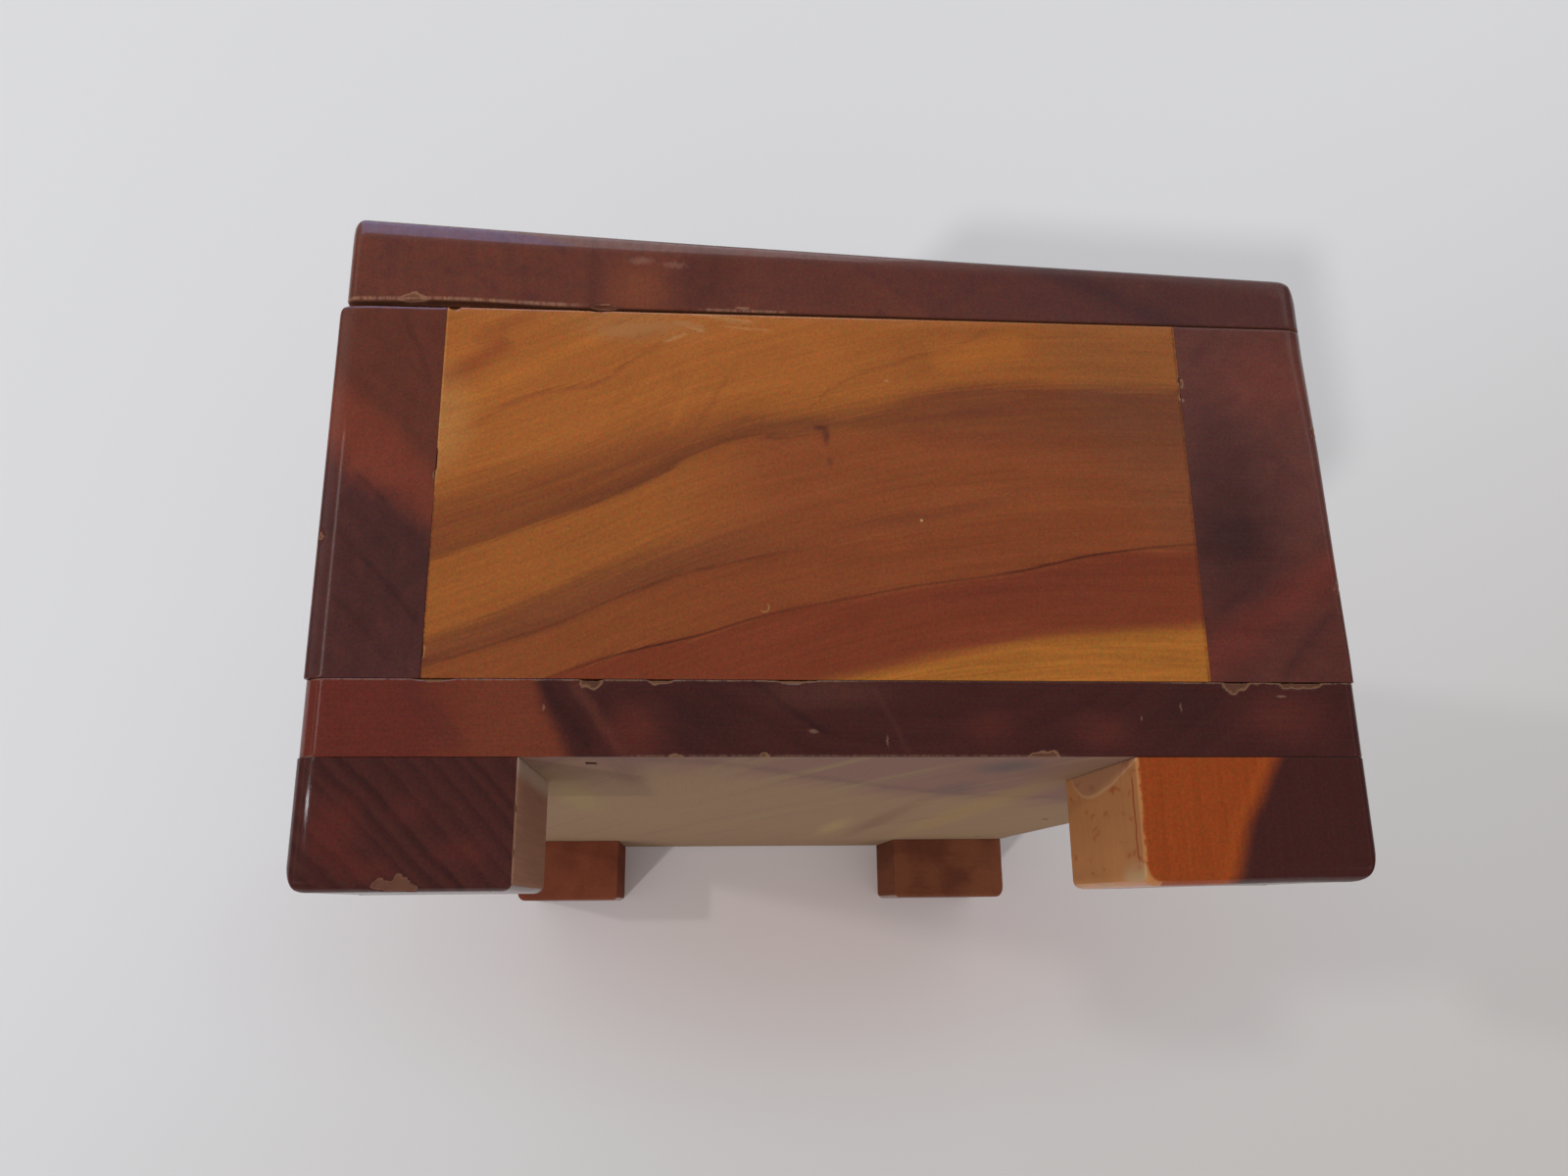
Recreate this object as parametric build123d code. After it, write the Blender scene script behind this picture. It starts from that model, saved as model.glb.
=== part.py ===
from build123d import *
import os

# A small keepsake box of red cedar: a hinged wedge lid, four glued walls, a nailed base and four block feet.
# Lengths are in millimetres. X runs along the box, -Y is the front, +Z is up, and the feet stand on Z = 0.

# Outside of the box, and what lies below its walls
box_length = 153.0
box_depth = 92.8
box_height = 62.25
foot_height = 10.95
base_thickness = 6.7

# Boards of the walls
front_wall_thickness = 9.9
back_wall_thickness = 13.5
end_panel_thickness = 9.5

# Lid board, thicker along the front than along the hinges, and closing on a thin wedge of air
lid_front_thickness = 9.1
lid_back_thickness = 5.5
lid_front_inset = 0.5
lid_front_gap = 0.35
lid_back_gap = 0.1

# Rounding left by the sander and by fingers
corner_round = 1.4
lid_round = 1.7
lid_under_bevel = 0.4
front_rim_bevel = 1.0
back_rim_bevel = 0.3

# Feet, sawn a little differently at each end
right_foot_length = 20.0
left_foot_length = 23.0
front_foot_width = 18.6
back_foot_width = 21.1
foot_heel_round = 2.2
foot_inner_bevel = 0.8

# Butt hinges
hinge_from_end = 31.5
leaf_length = 22.0
leaf_width = 9.5
leaf_thickness = 0.6
leaf_fit = 0.15
pin_radius = 0.6
pin_running_clearance = 0.05
pin_tight_clearance = 0.01
pin_standout = 1.0
pin_proud = 0.1
knuckle_count = 5
knuckle_gap = 0.1

# Hinge screws
screw_spread = 13.0
screw_setback = 5.6
screw_head_radius = 1.3
screw_shank_radius = 0.7
lid_screw_length = 4.0
case_screw_length = 8.0
screw_slot_width = 0.35
screw_slot_depth = 0.3
screw_fit = 0.02

# Brads of flat wire that hold the base to the walls
brad_length = 16.0
brad_thickness = 1.0
brad_width = 1.2
brad_head_width = 1.9
brad_head_height = 0.7
brad_neck_height = 0.5
brad_tip_length = 1.5
brad_sink = 0.4
brad_fit = 0.02
end_brad_from_front = 24.2
end_brad_from_back = 16.4
side_brad_from_end = 31.5

# How far a cutting block runs past the face that it opens
overrun = 1.0

# Places that follow from the sizes
right_end = box_length / 2
left_end = -right_end
knuckle_radius = pin_radius + pin_running_clearance + leaf_thickness
front_face = -(box_depth + pin_standout + knuckle_radius) / 2
back_face = front_face + box_depth
base_bottom = foot_height
base_top = base_bottom + base_thickness
wall_top = box_height - lid_front_thickness - lid_front_gap
inner_front = front_face + front_wall_thickness
inner_back = back_face - back_wall_thickness
inner_right = right_end - end_panel_thickness
inner_left = left_end + end_panel_thickness
lid_front_face = front_face + lid_front_inset
pin_y = back_face + pin_standout
pin_z = wall_top + lid_back_gap / 2
hinge_centres = {"left": left_end + hinge_from_end, "right": right_end - hinge_from_end}

# Which way a hinge leaf lies from the pin: down on the case, or up on the lid
case_side = -1
lid_side = 1
screw_lengths = {case_side: case_screw_length, lid_side: lid_screw_length}


def block(x, y, z):
    """A block between the low and high value given for each axis."""
    low = Vector(x[0], y[0], z[0])
    high = Vector(x[1], y[1], z[1])
    size = high - low
    return Pos(*((low + high) / 2)) * Box(*size)


def along_x(radius, start, end, y, z):
    """A cylinder that lies along X, from start to end."""
    return Pos((start + end) / 2, y, z) * Rot(0, 90, 0) * Cylinder(radius, end - start)


def brad_places():
    """The centres of the brads, as X and Y: along the middle of each wall's thickness."""
    panel_x = right_end - end_panel_thickness / 2
    end_rows = (front_face + end_brad_from_front, back_face - end_brad_from_back)
    side_rows = (front_face + front_wall_thickness / 2, back_face - back_wall_thickness / 2)
    ends = [(side * panel_x, y) for side in (-1, 1) for y in end_rows]
    side_x = right_end - side_brad_from_end
    sides = [(x, y) for x in (-side_x, 0, side_x) for y in side_rows]
    return ends + sides


def screw_solid(length, grow):
    """A countersunk screw with its head's face at Z = 0 and its shank down, grown all over by grow."""
    head = screw_head_radius + grow
    shank = screw_shank_radius + grow
    tip = -length - grow
    profile = Polyline((0, 0), (head, 0), (shank, -leaf_thickness), (shank, tip), (0, tip), close=True)
    return revolve(Plane.XZ * make_face(profile), Axis.Z)


def at_screws(solid, hinge_x, side):
    """Copies of a screw, or of its hole, at a leaf's two screw places, pointing into the wood behind the leaf."""
    y = pin_y - screw_setback
    head_z = pin_z + side * (knuckle_radius - leaf_thickness)
    turn = Rot(0, 0, 0) if side == case_side else Rot(180, 0, 0)
    return [Pos(hinge_x + step * screw_spread / 2, y, head_z) * turn * solid for step in (-1, 1)]


def hinge_screws(hinge_x, side):
    """The two slotted, countersunk wood screws of one leaf."""
    slot = block(
        (-screw_head_radius - overrun, screw_head_radius + overrun),
        (-screw_slot_width / 2, screw_slot_width / 2),
        (-screw_slot_depth, overrun),
    )
    return at_screws(screw_solid(screw_lengths[side], 0) - slot, hinge_x, side)


def hinge_seats(side):
    """What the hinges take out of the wood: a mortise for each leaf, and pilot holes for its screws."""
    cuts = []
    for hinge_x in hinge_centres.values():
        reach = leaf_length / 2 + leaf_fit
        depth = sorted((pin_z + side * knuckle_radius, wall_top - side * overrun))
        width = (pin_y - leaf_width - leaf_fit, back_face + overrun)
        cuts.append(block((hinge_x - reach, hinge_x + reach), width, depth))
        cuts += at_screws(screw_solid(screw_lengths[side], screw_fit), hinge_x, side)
    return cuts


def brad_solid(grow, mouth):
    """A brad with its head at Z = 0 and its point up, grown all over by grow, its head drawn down by mouth."""
    head = brad_head_width / 2 + grow
    shank = brad_width / 2 + grow
    neck = brad_head_height + brad_neck_height
    right = [(head, -mouth), (head, brad_head_height), (shank, neck), (shank, brad_length - brad_tip_length)]
    left = [(-x, z) for x, z in reversed(right)]
    profile = Polyline(*right, (0, brad_length + grow), *left, close=True)
    return extrude(Plane.XZ * make_face(profile), brad_thickness / 2 + grow, both=True)


def brad_holes():
    """What the brads take out of the wood, open below where their heads were punched in."""
    hole = brad_solid(brad_fit, brad_sink + overrun)
    return [Pos(x, y, base_bottom + brad_sink) * hole for x, y in brad_places()]


def front_wall():
    """The front board, over the whole length, with its outer corners and rim sanded round."""
    wall = block((left_end, right_end), (front_face, inner_front), (base_top, wall_top))
    rim = wall.faces().sort_by(Axis.Z)[-1].edges()
    wall = chamfer(rim.filter_by(Axis.X).sort_by(Axis.Y)[0], front_rim_bevel)
    wall = fillet(wall.edges().filter_by(Axis.Z).group_by(Axis.Y)[0], corner_round)
    for hole in brad_holes():
        wall -= hole
    return wall


def back_wall():
    """The back board, thicker than the front, with a mortise and two pilot holes under each hinge."""
    wall = block((left_end, right_end), (inner_back, back_face), (base_top, wall_top))
    rim = wall.faces().sort_by(Axis.Z)[-1].edges()
    wall = chamfer(rim.filter_by(Axis.X).sort_by(Axis.Y)[-1], back_rim_bevel)
    wall = fillet(wall.edges().filter_by(Axis.Z).group_by(Axis.Y)[-1], corner_round)
    for cut in hinge_seats(case_side) + brad_holes():
        wall -= cut
    return wall


def end_panel(inside, outside):
    """An end board, glued between the two long walls."""
    panel = block(sorted((inside, outside)), (inner_front, inner_back), (base_top, wall_top))
    for hole in brad_holes():
        panel -= hole
    return panel


def base_board():
    """The bottom board, under all four walls, with the holes of its brads."""
    board = block((left_end, right_end), (front_face, back_face), (base_bottom, base_top))
    board = fillet(board.edges().filter_by(Axis.Z), corner_round)
    for hole in brad_holes():
        board -= hole
    return board


def foot(x_side, y_side, length, width):
    """A block foot under one corner, rounded where the sander reached it: outside and at the heel."""
    outer_x = x_side * right_end
    outer_y = front_face if y_side < 0 else back_face
    inner_x = outer_x - x_side * length
    inner_y = outer_y - y_side * width
    solid = block(sorted((inner_x, outer_x)), sorted((inner_y, outer_y)), (0, base_bottom))
    inner_places = ((inner_x, (outer_y + inner_y) / 2, 0), ((outer_x + inner_x) / 2, inner_y, 0))
    solid = chamfer([solid.edges().sort_by_distance(place)[0] for place in inner_places], foot_inner_bevel)
    uprights = solid.edges().filter_by(Axis.Z)
    solid = fillet(uprights.sort_by_distance((outer_x, outer_y, base_bottom))[0], corner_round)
    # The heel is the sole's two outer edges and the arc between them
    sole = solid.faces().sort_by(Axis.Z)[0].edges()
    return fillet(sole.sort_by_distance((outer_x, outer_y, 0))[0:3], foot_heel_round)


def lid_board():
    """The lid, a wedge in section, with its top edges rounded over and a mortise for each hinge."""
    profile = Polyline(
        (lid_front_face, wall_top + lid_front_gap),
        (back_face, wall_top + lid_back_gap),
        (back_face, wall_top + lid_back_gap + lid_back_thickness),
        (lid_front_face, wall_top + lid_front_gap + lid_front_thickness),
        close=True,
    )
    lid = extrude(Plane.YZ * make_face(profile), box_length / 2, both=True)
    top = lid.faces().sort_by(Axis.Z)[-1].edges()
    lid = fillet(lid.edges().filter_by(Axis.Z) + top, lid_round)
    lid = chamfer(lid.faces().sort_by(Axis.Z)[0].edges(), lid_under_bevel)
    for cut in hinge_seats(lid_side):
        lid -= cut
    return lid


def hinge_leaf(hinge_x, side):
    """One leaf: a plate with knuckles rolled round the pin, the case's at both ends and the lid's between them."""
    start = hinge_x - leaf_length / 2
    pitch = leaf_length / knuckle_count
    bore = pin_radius + (pin_tight_clearance if side == case_side else pin_running_clearance)
    face_z = sorted((pin_z + side * knuckle_radius, pin_z + side * (knuckle_radius - leaf_thickness)))
    barrel_front = pin_y - knuckle_radius - knuckle_gap
    leaf = block((start, start + leaf_length), (pin_y - leaf_width, barrel_front), face_z)
    for number in range(0 if side == case_side else 1, knuckle_count, 2):
        low = start + number * pitch + knuckle_gap / 2
        high = low + pitch - knuckle_gap
        leaf += along_x(knuckle_radius, low, high, pin_y, pin_z)
        leaf += block((low, high), (barrel_front, pin_y), face_z)
    leaf -= along_x(bore, start - overrun, start + leaf_length + overrun, pin_y, pin_z)
    for hole in at_screws(screw_solid(screw_lengths[side], screw_fit), hinge_x, side):
        leaf -= hole
    return leaf


def hinge_pin(hinge_x):
    """The pin, a plain wire through all the knuckles, cut off just proud of them."""
    reach = leaf_length / 2 + pin_proud
    return along_x(pin_radius, hinge_x - reach, hinge_x + reach, pin_y, pin_z)


def base_brads():
    """All the brads under the base, their heads punched in below its face."""
    return [Pos(x, y, base_bottom + brad_sink) * brad_solid(0, 0) for x, y in brad_places()]


def write(name, *solids):
    """Writes one node, which holds one solid or a group of separate ones."""
    found = [solid for shape in solids for solid in shape.solids()]
    shape = found[0] if len(found) == 1 else Compound(children=found)
    export_step(shape, f"parts/{name}.step")


os.makedirs("parts", exist_ok=True)
write("front_wall", front_wall())
write("back_wall", back_wall())
write("right_end_panel", end_panel(inner_right, right_end))
write("left_end_panel", end_panel(inner_left, left_end))
write("base_board", base_board())
write("foot_front_right", foot(1, -1, right_foot_length, front_foot_width))
write("foot_back_right", foot(1, 1, right_foot_length, back_foot_width))
write("foot_front_left", foot(-1, -1, left_foot_length, front_foot_width))
write("foot_back_left", foot(-1, 1, left_foot_length, back_foot_width))
write("lid_board", lid_board())
for place, centre in hinge_centres.items():
    write(f"{place}_hinge_case_leaf", hinge_leaf(centre, case_side))
    write(f"{place}_hinge_lid_leaf", hinge_leaf(centre, lid_side))
    write(f"{place}_hinge_pin", hinge_pin(centre))
    write(f"{place}_hinge_case_screws", *hinge_screws(centre, case_side))
    write(f"{place}_hinge_lid_screws", *hinge_screws(centre, lid_side))
write("base_brads", *base_brads())
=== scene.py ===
import math

import bmesh
import bpy
import numpy as np
from mathutils import Matrix, Vector


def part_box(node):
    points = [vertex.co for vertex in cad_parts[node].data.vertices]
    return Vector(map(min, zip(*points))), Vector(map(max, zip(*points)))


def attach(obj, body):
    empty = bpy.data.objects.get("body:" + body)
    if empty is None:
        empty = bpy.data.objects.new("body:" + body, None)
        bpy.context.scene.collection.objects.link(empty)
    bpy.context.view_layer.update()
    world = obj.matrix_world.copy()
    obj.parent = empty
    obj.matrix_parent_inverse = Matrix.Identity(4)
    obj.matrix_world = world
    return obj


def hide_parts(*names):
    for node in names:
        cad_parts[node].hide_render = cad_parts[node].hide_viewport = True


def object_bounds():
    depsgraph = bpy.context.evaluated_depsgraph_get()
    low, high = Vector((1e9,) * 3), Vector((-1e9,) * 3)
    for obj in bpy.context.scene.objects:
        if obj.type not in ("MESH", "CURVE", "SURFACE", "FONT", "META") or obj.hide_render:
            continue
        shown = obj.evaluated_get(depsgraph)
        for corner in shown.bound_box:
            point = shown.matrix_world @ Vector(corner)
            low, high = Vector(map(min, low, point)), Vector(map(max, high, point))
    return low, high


# A small cedar keepsake box. It stands on its far end on a pale table, and is seen from close above its
# near end. The CAD frame is kept, in metres: X along the box, -Y its front, +Y its hinged back, +Z up from
# its feet.
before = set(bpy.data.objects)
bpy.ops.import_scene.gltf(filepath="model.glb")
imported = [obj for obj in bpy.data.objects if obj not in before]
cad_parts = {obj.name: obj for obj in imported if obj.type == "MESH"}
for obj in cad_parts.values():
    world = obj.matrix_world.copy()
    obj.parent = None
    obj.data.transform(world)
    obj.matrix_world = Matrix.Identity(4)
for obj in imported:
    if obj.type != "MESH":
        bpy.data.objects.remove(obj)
cad_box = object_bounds()
# Places are given in mm from one point: in from the near end, back from the front face and up from the
# table that the feet would stand on. It lies where the front wall's and the feet's worn faces begin.
zero = np.array([cad_box[1].x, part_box("front_wall")[0].y + 0.0004, 0.00015])
from_zero = np.array([-1000, 1000, 1000])

# The inner faces of the front wall, the back wall, the near end panel and the far one, whose wood is raw,
# and half the breadth of the step from varnish to raw wood.
front_inner, back_inner, near_inner, far_inner = 9.445, 78.995, 9.445, 143.555
step = 0.025

# Lid. One board of dark red heartwood, planed to a wedge that is thicker in front, its top edges rounded
# over by sanding, its lower front corner chipped, and all of it varnished. Two hinges hold it.


def seen(node):
    """A node's lowest and highest corners, as places in mm."""
    return np.sort((np.array(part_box(node)) - zero) * from_zero, axis=0)


def ladder(low, high, gap, cuts=()):
    """Stations between two faces of a board: crowded near each face, gap apart between, and paired at each
    cut."""
    crowded = np.array([0, 0.12, 0.27, 0.45, 0.68, 0.95, 1.25, 1.6, 2.0, 2.5, 3.2])
    middle = np.linspace(low + crowded[-1], high - crowded[-1], max(2, int((high - low) / gap)))
    pairs = [cut + side for cut in cuts for side in (-0.004, 0.004)]
    return np.unique(np.round(np.concatenate([low + crowded, middle, high - crowded, pairs]), 4))


def skin(x, y, z):
    """The outside of a block as a closed lattice: its points on the stations given, and its four-sided
    faces."""
    number = np.full((len(x), len(y), len(z)), -1)
    inside = np.zeros(number.shape, bool)
    inside[1:-1, 1:-1, 1:-1] = True
    number[~inside] = np.arange(np.count_nonzero(~inside))
    spread = np.meshgrid(x, y, z, indexing="ij")
    points = np.stack([axis[~inside] for axis in spread], axis=1)
    faces = []
    for sheet, turned in ((number[0], 0), (number[-1], 1), (number[:, 0], 1), (number[:, -1], 0),
                          (number[:, :, 0], 0), (number[:, :, -1], 1)):
        loop = [sheet[:-1, :-1], sheet[1:, :-1], sheet[1:, 1:], sheet[:-1, 1:]]
        corners = np.stack([part.ravel() for part in loop], axis=1)
        faces.append(corners[:, ::-1] if turned else corners)
    return points, np.concatenate(faces)


def between(values, low, high):
    """0 below low, 1 above high, and a smooth step between them."""
    share = np.clip((values - low) / (high - low), 0, 1)
    return share * share * (3 - 2 * share)


def rounded(first, second, radius):
    """How far outside two faces a point is, where they meet in a round edge, from how far it is outside
    each."""
    corner = np.hypot(np.maximum(first + radius, 0), np.maximum(second + radius, 0))
    return np.minimum(np.maximum(first, second) + radius, 0) + corner - radius


def ripple(points, size, seed):
    """A smooth wave from -1 to 1 with lumps of the size given, in mm: the mean of twelve slanted sine
    waves."""
    rng = np.random.default_rng(seed)
    slopes = rng.normal(size=(12, 3)) / size
    turns = rng.uniform(0, 2 * math.pi, 12)
    return np.sin(points @ slopes.T + turns).mean(axis=1) * 2


def sanded(low, high, upright, rim, seed, level=None):
    """How far outside a hand-sanded board a point is, in mm, for a board between two corners. Its upright
    edges have the radius that upright gives for each point, and the edges round its top and bottom the one
    that rim gives. Level moves the points of a sloping or worn board to where they would lie if it were
    level and whole."""
    def shape(points):
        x, y, z = ((points if level is None else level(points)) + ripple(points, 9, seed)[:, None] * 0.02).T
        ends = np.maximum(low[0] - x, x - high[0])
        sides = np.maximum(low[1] - y, y - high[1])
        outline = rounded(ends, sides, upright(x, y, z))
        across = between(ends - sides, -0.7, 0.7)
        return rounded(outline, np.maximum(low[2] - z, z - high[2]), rim(x, y, z, across))
    return shape


def carve(points, shape):
    """Moves points onto the surface where shape is zero, and finds which way is out of it at each. Each round
    moves a point down its slope, which is measured over a hundredth of a millimetre."""
    for _ in range(4):
        off = shape(points)
        slope = np.stack([shape(points + step) - off for step in np.eye(3) * 0.01], axis=1) / 0.01
        steep = np.maximum((slope * slope).sum(axis=1), 0.2)
        points = points - slope * (off / steep)[:, None]
    return points, slope / np.sqrt(steep)[:, None]


def chip_depth(points, chips, seed):
    """How deep the chips of a near end go at each point, in mm. A chip is a ragged oval with a flat floor,
    given by its centre back and up, its half length and half height, its slope and its depth."""
    ragged = ripple(points, 0.3, seed) * 0.28 + ripple(points, 1.0, seed + 1) * 0.3
    deepest = np.zeros(len(points))
    for back, up, length, height, slope, depth in chips:
        y, z = points[:, 1] - back, points[:, 2] - up
        tilt = math.hypot(1, slope)
        along, over = (y + slope * z) / tilt / length, (z - slope * y) / tilt / height
        away = np.sqrt((points[:, 0] / 0.7) ** 2 + along ** 2 + over ** 2) + ragged
        deepest = np.maximum(deepest, depth * np.clip((1 - away) / 0.3, 0, 1))
    return deepest


def sink(points, low, high, floor, middle):
    """Moves the points between two corners out of a recess, to its floor's height."""
    inside = np.all((points[:, :2] > low[:2]) & (points[:, :2] < high[:2]), axis=1)
    limit = np.minimum if floor > middle else np.maximum
    points[inside, 2] = limit(points[inside, 2], floor)


def added(name, data):
    """A new object in the scene."""
    made = bpy.data.objects.new(name, data)
    bpy.context.scene.collection.objects.link(made)
    return made


def wooden(node, slot, body, gaps, upright, rim, seed, chips=(), recesses=(), heights=None, level=None,
           place=None):
    """Makes one board of wood in place of its CAD solid, with its material's slot, and a chip depth at each
    point. Gaps are the stations' along X, Y and Z. A recess is two corners and its floor's height. A
    sloping board is made level, between heights, and place brings its points to their slope."""
    low, high = seen(node)
    cuts = [[corner[axis] for recess in recesses for corner in recess[:2]] for axis in (0, 1)]
    if heights is not None:
        low[2], high[2] = heights
    points, faces = skin(ladder(low[0], high[0], gaps[0], [cut for cut in cuts[0] if low[0] < cut < high[0]]),
                         ladder(low[1], high[1], gaps[1], [cut for cut in cuts[1] if low[1] < cut < high[1]]),
                         ladder(low[2], high[2], gaps[2]))
    if place is not None:
        points = place(points)
    points, outwards = carve(points, sanded(low, high, upright, rim, seed, level))
    depth = chip_depth(points, chips, seed)
    points = points - outwards * depth[:, None]
    for recess in recesses:
        sink(points, *recess, seen(node)[:, 2].mean())
    points = np.clip(points, *seen(node))
    mesh = bpy.data.meshes.new(node + "_wood")
    mesh.from_pydata(points / from_zero + zero, [], faces)
    mesh.attributes.new("chip", "FLOAT", "POINT").data.foreach_set("value", depth.astype(np.float32))
    work = bmesh.new()
    work.from_mesh(mesh)
    bmesh.ops.remove_doubles(work, verts=work.verts, dist=1e-6)
    bmesh.ops.dissolve_degenerate(work, edges=work.edges, dist=1e-6)
    work.to_mesh(mesh)
    work.free()
    mesh.polygons.foreach_set("use_smooth", np.ones(len(mesh.polygons), bool))
    mesh.set_sharp_from_angle(angle=math.radians(28))
    mesh.materials.append(bpy.data.materials[slot + "_look"])
    made = added(node + "_wood", mesh)
    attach(made, body)
    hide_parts(node)


class Value:
    """A socket of a material. Arithmetic on it adds Math nodes, and node() adds a node of any other kind."""

    def __init__(self, tree, socket=None):
        self.tree = tree
        self.socket = socket

    def node(self, kind, settings=(), sockets=(), output=0):
        """Adds a node: its settings come first, a curve's points among them, then its sockets."""
        made = self.tree.nodes.new("ShaderNode" + kind)
        for name, setting in dict(settings).items():
            if name == "points":
                curve = made.mapping.curves[0]
                curve.points[0].location, curve.points[-1].location = setting[0], setting[-1]
                for place, height in setting[1:-1]:
                    curve.points.new(place, height)
                made.mapping.extend = "EXTRAPOLATED"
                made.mapping.update()
            else:
                setattr(made, name, setting)
        for name, given in dict(sockets).items():
            if isinstance(given, Value):
                self.tree.links.new(given.socket, made.inputs[name])
            else:
                made.inputs[name].default_value = given
        return Value(self.tree, made.outputs[output] if made.outputs else None)

    def math(self, operation, *terms):
        """A Math node on this value and on the values or numbers given."""
        return self.node("Math", {"operation": operation}, dict(enumerate((self, *terms))))

    def __add__(self, other):
        return self.math("ADD", other)

    def __sub__(self, other):
        return self.math("SUBTRACT", other)

    def __mul__(self, other):
        return self.math("MULTIPLY", other)

    def __truediv__(self, other):
        return self.math("DIVIDE", other)

    def __rsub__(self, other):
        return self * -1.0 + other

    __radd__ = __add__
    __rmul__ = __mul__


def paint(red, green, blue):
    """A colour named as a screen shows it, 0 to 255, as the light that it gives back."""
    share = np.array([red, green, blue]) / 255
    light = np.where(share <= 0.04045, share / 12.92, ((share + 0.055) / 1.055) ** 2.4)
    return (*light.tolist(), 1.0)


def rise(value, low, high):
    """0 below low, 1 above high, and a smooth step between them."""
    return value.node("MapRange", {"interpolation_type": "SMOOTHSTEP"},
                      {"Value": value, "From Min": low, "From Max": high})


def past(value, face):
    """0 outside an inner face of the box, and 1 inside it, beyond a narrow step."""
    return rise(value, face - step, face + step)


def ridge(value, half, soft):
    """1 where the value is within half of zero, fading to 0 over soft."""
    return 1 - rise(value.math("ABSOLUTE"), half - soft / 2, half + soft / 2)


def blend(share, first, second):
    """The first colour where the share is 0, and the second where it is 1."""
    return share.node("Mix", {"data_type": "RGBA"}, {0: share, 6: first, 7: second}, 2)


def painted(colour, share, red, green, blue):
    """A colour with a share of another laid over it, which is named as a screen shows it."""
    return blend(share, colour, paint(red, green, blue))


def shade(colour, amount):
    """A colour made darker or lighter by a factor."""
    plain = colour if isinstance(colour, Value) else colour[:3]
    return amount.node("VectorMath", {"operation": "SCALE"}, {0: plain, "Scale": amount})


def noise(x, y, z, sizes, detail=2.0, seed=0.0, roughness=0.5):
    """Noise from about -1 to 1, whose lumps have the sizes given in mm along X, Y and Z."""
    place = x.node("CombineXYZ", (), {0: x / sizes[0] + seed, 1: y / sizes[1] + seed, 2: z / sizes[2] - seed})
    value = x.node("TexNoise", (), {"Vector": place, "Scale": 1.0, "Detail": detail, "Roughness": roughness})
    return (value - 0.5) * 4.0


def blank(owner):
    """Clears the nodes of a material or a world, ready for its own."""
    owner.use_nodes = True
    owner.node_tree.nodes.clear()
    return Value(owner.node_tree)


def material(name):
    """A new material, and its place on the box in mm: in from the near end, back from the front face, up."""
    start = blank(bpy.data.materials.new(name + "_look"))
    placed = start.node("Mapping", (), {
        "Vector": start.node("TexCoord", (), (), "Object"),
        "Location": (-zero * from_zero).tolist(),
        "Scale": from_zero.tolist(),
    })
    return [start.node("SeparateXYZ", (), {0: placed}, axis) for axis in range(3)]


def from_line(y, z, start, end):
    """Distance in mm from a line drawn on the end of the box, more than zero on its upper side."""
    run, climb = end[0] - start[0], end[1] - start[1]
    length = math.hypot(run, climb)
    return (z - start[1]) * (run / length) - (y - start[0]) * (climb / length)


def height_at(y, places):
    """The height at each y of a smooth line drawn on the end of the box through the places given, in mm."""
    points = [(back / 100, up / 100) for back, up in places]
    return y.node("FloatCurve", {"points": points}, {"Value": y / 100}) * 100


def stroke(y, z, start, end, half, soft):
    """1 on a straight stroke drawn on the end of the box between two places, fading to 0 round it."""
    run, climb = end[0] - start[0], end[1] - start[1]
    length = math.hypot(run, climb)
    along = (y - (start[0] + end[0]) / 2) * (run / length) + (z - (start[1] + end[1]) / 2) * (climb / length)
    return ridge(from_line(y, z, start, end), half, soft) * ridge(along, length / 2, 0.5 + length / 8)


def distance(across, above):
    """How far a point is from another, from how far it is across and above it."""
    return (across * across + above * above).math("SQRT")


def spot(y, z, centre, reach, soft=0.4):
    """1 inside an oval drawn on the end of the box, fading to 0 round it."""
    away = distance((y - centre[0]) / reach[0], (z - centre[1]) / reach[1])
    return 1 - rise(away, 1 - soft, 1 + soft)


def rings(away, spacing, seed):
    """Growth rings: 0 in early wood, climbing to about 1 at each ring's dark edge. Away is how far out a
    point is."""
    uneven = noise(away, away, away, (spacing * 2.5, 1e6, 1e6), 2.0, seed)
    turn = (away / spacing + uneven * 0.45).math("FRACT")
    strength = 0.7 + noise(away, away, away, (4, 1e6, 1e6), 1.0, seed) * 0.4
    return rise(turn, 0.15, 0.8) * (1 - rise(turn, 0.8, 1.0)) * strength


def along_grain(x, y, z, seed):
    """The unevenness of a board whose grain runs along X: a slow sway of its figure, and its fine fibres."""
    return noise(x, y, z, (60, 7, 7), 3.0, seed), noise(x, y, z, (8, 0.3, 0.3), 3.0, seed + 1, 0.6)


def inside(x):
    """0 on the two end faces of the box, and 1 between them."""
    return rise(x, 0.1, 0.2) * (1 - rise(x, 152.8, 152.9))


def ragged_edge(x, y, z, height, breadth, seed):
    """1 on a thin ragged line along an edge of the near end, at the height given: where the varnish has worn
    off, along a dark joint, or where a highlight is painted."""
    worn = noise(x, y, z, (5, 0.7, 5), 4.0, seed, 0.7)
    return ridge(z - height, breadth * 0.5, breadth) * rise(worn, -0.7, 0.4) * (1 - rise(x, 0.3, 0.6))


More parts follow.
